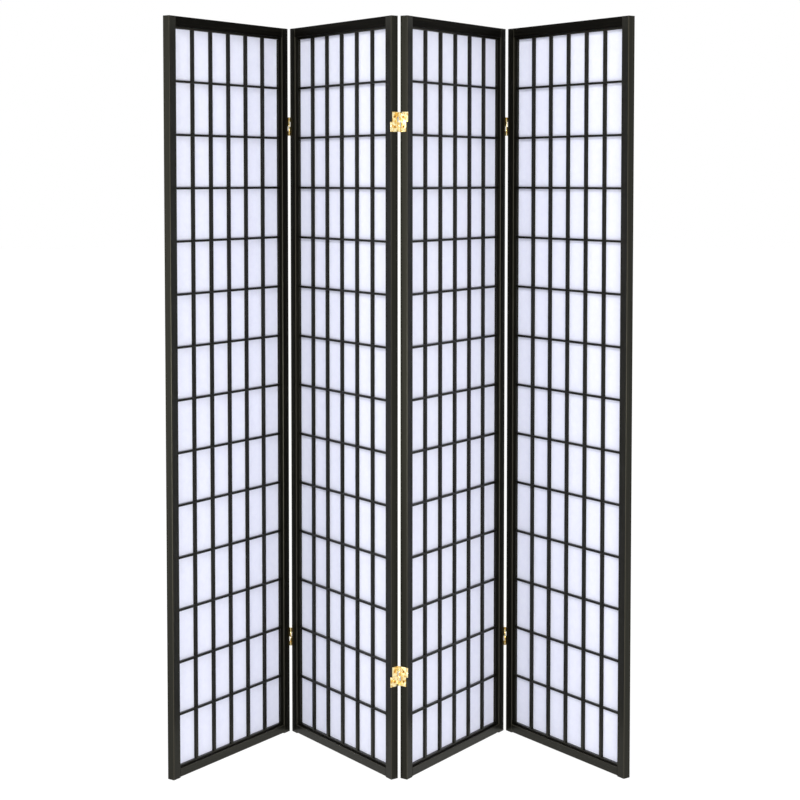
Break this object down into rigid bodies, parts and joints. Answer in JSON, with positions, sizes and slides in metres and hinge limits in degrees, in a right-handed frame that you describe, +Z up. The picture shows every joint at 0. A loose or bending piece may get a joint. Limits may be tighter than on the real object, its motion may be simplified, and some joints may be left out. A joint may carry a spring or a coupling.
{
  "type": "shoji folding screen",
  "caption": "Free-standing folding screen of narrow black wood frames, each with a gridded lattice backed by white paper, joined by two-way brass hinges.",
  "frame": {"origin": "on the floor, at the middle of the space the open screen takes up", "axes": "+X along the screen from left to right, +Y from the front to the back, +Z up"},
  "size_m": [1.0872, 0.3786, 1.785],
  "materials": {
    "black_wood": "satin",
    "paper": "matte",
    "brass": "polished"
  },
  "bodies": {
    "panel_1": {"panel_1_left_stile": "black_wood", "panel_1_right_stile": "black_wood", "panel_1_top_rail": "black_wood", "panel_1_bottom_rail": "black_wood", "panel_1_lattice_border": "black_wood", "panel_1_lattice_uprights": "black_wood", "panel_1_lattice_crossbars": "black_wood", "panel_1_paper": "paper", "hinge_12_leaves_on_panel_1": "brass", "hinge_12_pins_on_panel_1": "brass", "hinge_12_screws_on_panel_1": "brass", "hinge_12_upper_links": "brass"},
    "panel_2": {"panel_2_left_stile": "black_wood", "panel_2_right_stile": "black_wood", "panel_2_top_rail": "black_wood", "panel_2_bottom_rail": "black_wood", "panel_2_lattice_border": "black_wood", "panel_2_lattice_uprights": "black_wood", "panel_2_lattice_crossbars": "black_wood", "panel_2_paper": "paper", "hinge_12_leaves_on_panel_2": "brass", "hinge_12_pins_on_panel_2": "brass", "hinge_12_screws_on_panel_2": "brass", "hinge_12_lower_links": "brass", "hinge_23_leaves_on_panel_2": "brass", "hinge_23_pins_on_panel_2": "brass", "hinge_23_screws_on_panel_2": "brass", "hinge_23_lower_links": "brass"},
    "panel_3": {"panel_3_left_stile": "black_wood", "panel_3_right_stile": "black_wood", "panel_3_top_rail": "black_wood", "panel_3_bottom_rail": "black_wood", "panel_3_lattice_border": "black_wood", "panel_3_lattice_uprights": "black_wood", "panel_3_lattice_crossbars": "black_wood", "panel_3_paper": "paper", "hinge_23_leaves_on_panel_3": "brass", "hinge_23_pins_on_panel_3": "brass", "hinge_23_screws_on_panel_3": "brass", "hinge_23_upper_links": "brass", "hinge_34_leaves_on_panel_3": "brass", "hinge_34_pins_on_panel_3": "brass", "hinge_34_screws_on_panel_3": "brass", "hinge_34_upper_links": "brass"},
    "panel_4": {"panel_4_left_stile": "black_wood", "panel_4_right_stile": "black_wood", "panel_4_top_rail": "black_wood", "panel_4_bottom_rail": "black_wood", "panel_4_lattice_border": "black_wood", "panel_4_lattice_uprights": "black_wood", "panel_4_lattice_crossbars": "black_wood", "panel_4_paper": "paper", "hinge_34_leaves_on_panel_4": "brass", "hinge_34_pins_on_panel_4": "brass", "hinge_34_screws_on_panel_4": "brass", "hinge_34_lower_links": "brass"}
  },
  "joints": [
    {"name": "fold_12", "type": "hinge", "parent": "panel_2", "child": "panel_1", "pos_m": [-0.27336, 0.17405, 0.8925], "axis": [0, 0, 1], "range_deg": [-109.7, 70.3]},
    {"name": "fold_23", "type": "hinge", "parent": "panel_2", "child": "panel_3", "pos_m": [0, -0.17405, 0.8925], "axis": [0, 0, 1], "range_deg": [-109.7, 69.6]},
    {"name": "fold_34", "type": "hinge", "parent": "panel_3", "child": "panel_4", "pos_m": [0.27336, 0.17405, 0.8925], "axis": [0, 0, -1], "range_deg": [-109.7, 70.3]}
  ]
}
